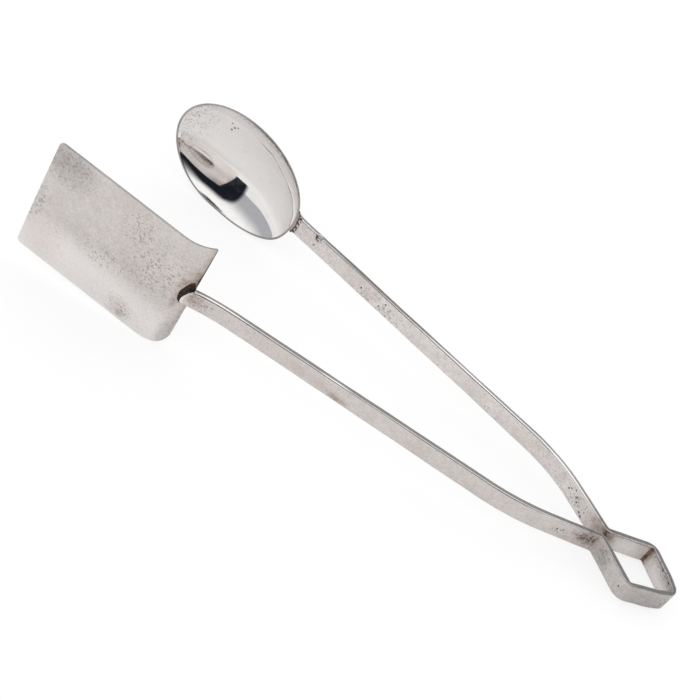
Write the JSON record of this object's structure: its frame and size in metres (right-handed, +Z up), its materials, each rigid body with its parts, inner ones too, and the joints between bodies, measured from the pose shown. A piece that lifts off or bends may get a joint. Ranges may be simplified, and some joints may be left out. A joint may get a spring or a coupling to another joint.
{
  "type": "serving tongs",
  "caption": "Wrought spring tongs with a flat spade blade and a deep oval spoon bowl on strip arms, pinched at a neck and ending in a four-sided loop.",
  "frame": {"origin": "centre of the bounding box's footprint, on the table that the tongs lie on", "axes": "+X from the jaws to the loop, +Y from the spade arm to the spoon arm, +Z up from the table"},
  "size_m": [0.2304, 0.0832, 0.0467],
  "materials": {
    "silver_satin": "worn satin silver",
    "silver_polished": "mirror-polished silver",
    "solder": "dark tarnished solder"
  },
  "bodies": {
    "handle": {"spoon_loop_half": "silver_satin", "spade_loop_half": "silver_satin", "spoon_corner_solder": "solder", "spade_corner_solder": "solder", "tip_solder": "solder", "neck_solder": "solder"},
    "spoon": {"spoon_arm": "silver_satin", "spoon_bowl": "silver_polished", "bowl_solder": "solder"},
    "spade": {"spade_arm": "silver_satin", "spade_blade": "silver_satin", "blade_solder": "solder"}
  },
  "joints": [
    {"name": "spoon_flex", "type": "hinge", "parent": "handle", "child": "spoon", "pos_m": [0.08691, -0.00439, 0.00607], "axis": [0.094, 0.0871, 0.9918], "range_deg": [0, 10.5], "stiffness_Nm_per_rad": 6},
    {"name": "spade_flex", "type": "hinge", "parent": "handle", "child": "spade", "pos_m": [0.08691, -0.00439, 0.00607], "axis": [0.094, 0.0871, 0.9918], "range_deg": [-10.5, 0], "stiffness_Nm_per_rad": 6}
  ],
  "couplings": [
    {"joint": "spade_flex", "follows": "spoon_flex", "ratio": -1}
  ]
}
